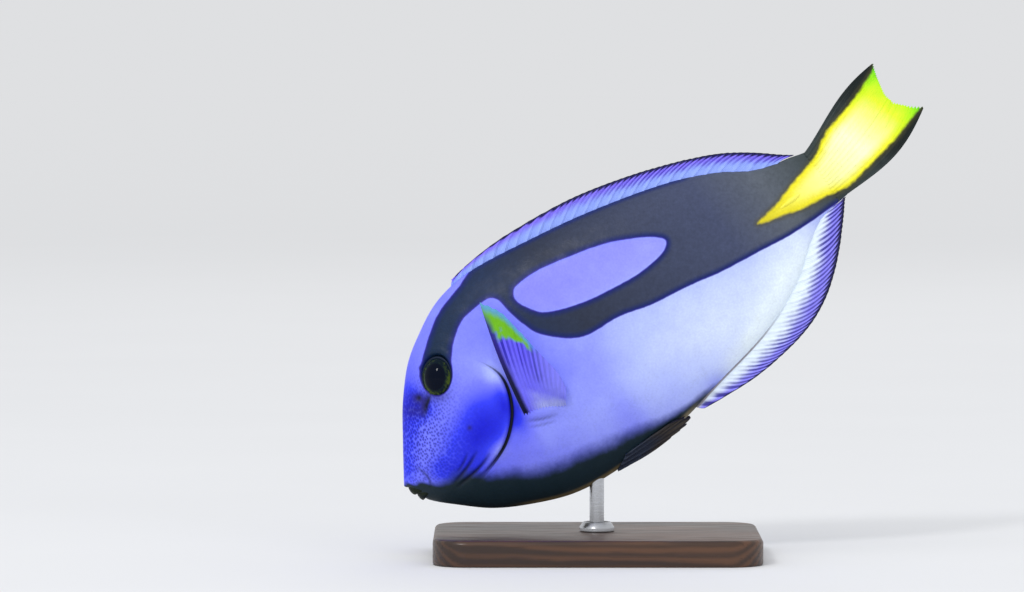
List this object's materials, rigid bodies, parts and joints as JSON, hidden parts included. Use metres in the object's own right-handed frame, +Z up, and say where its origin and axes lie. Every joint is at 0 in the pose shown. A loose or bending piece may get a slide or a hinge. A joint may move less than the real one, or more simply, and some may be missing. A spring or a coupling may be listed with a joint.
{
  "type": "regal blue tang",
  "caption": "Life-size regal blue tang gliding nose-down with its fins half folded, held on a short rod above a flat rectangular base.",
  "frame": {"origin": "centre of the underside of the display base", "axes": "+Z up, -X towards the fish's snout, -Y towards its left flank"},
  "size_m": [0.1803, 0.08, 0.1698],
  "materials": {
    "skin_blue": "wet fish skin, deep blue",
    "skin_flank": "wet fish skin, violet blue with a dark slate marking",
    "skin_band": "wet fish skin, dark slate with a yellow wedge",
    "fin_yellow": "thin ribbed fin membrane, yellow with dark edges",
    "fin_violet": "thin ribbed fin membrane, violet blue with a dark edge",
    "eye": "clear wet eye, black pupil in a dark olive iris",
    "lip": "soft dark olive lip",
    "base_wood": "dark oiled wood, satin",
    "rod_steel": "brushed steel"
  },
  "bodies": {
    "root": {"head": "skin_blue", "gill_cover_left": "skin_blue", "gill_cover_right": "skin_blue", "torso": "skin_flank", "tail_stalk": "skin_band", "tail_fin": "fin_yellow", "dorsal_fin": "fin_violet", "anal_fin": "fin_violet", "pectoral_fin_left": "fin_violet", "pectoral_fin_right": "fin_violet", "pelvic_fin_left": "fin_violet", "pelvic_fin_right": "fin_violet", "stalk_blade_left": "fin_yellow", "stalk_blade_right": "fin_yellow", "eye_left": "eye", "eye_right": "eye", "upper_lip": "lip", "lower_lip": "lip", "stand_base": "base_wood", "stand_collar": "rod_steel", "stand_rod": "rod_steel"}
  },
  "joints": []
}
